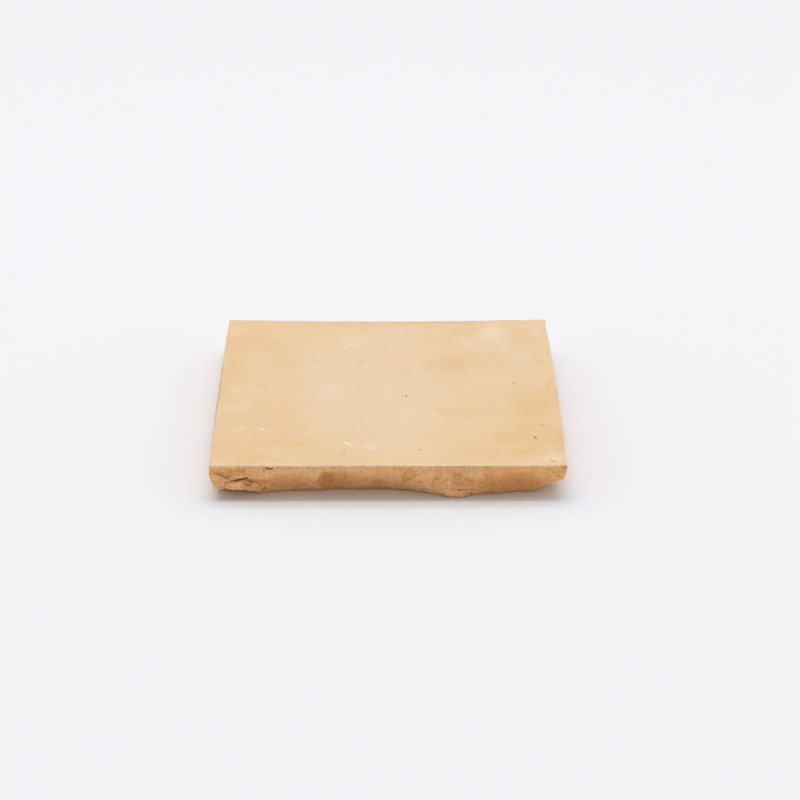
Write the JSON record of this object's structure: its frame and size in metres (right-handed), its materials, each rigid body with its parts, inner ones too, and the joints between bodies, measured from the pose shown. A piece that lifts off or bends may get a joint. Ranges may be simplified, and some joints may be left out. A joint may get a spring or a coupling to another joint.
{
  "type": "zellige tile",
  "caption": "Square hand-cut clay tile with a smooth, slightly uneven face, undercut hammer-flaked sides and a flat back, for bedding edge to edge on walls and floors.",
  "frame": {"origin": "centre of the tile's outline on the plane of its flat back, the face it is bedded and rests on", "axes": "+Z through the thickness, from the back to the smooth face; +X along the front edge; +Y from the front edge to the back edge"},
  "size_m": [0.1, 0.1, 0.011],
  "materials": {
    "clay": "smooth, unglazed pale buff face; rough, more orange flaked sides"
  },
  "bodies": {
    "root": {"zellige_tile": "clay"}
  },
  "joints": []
}
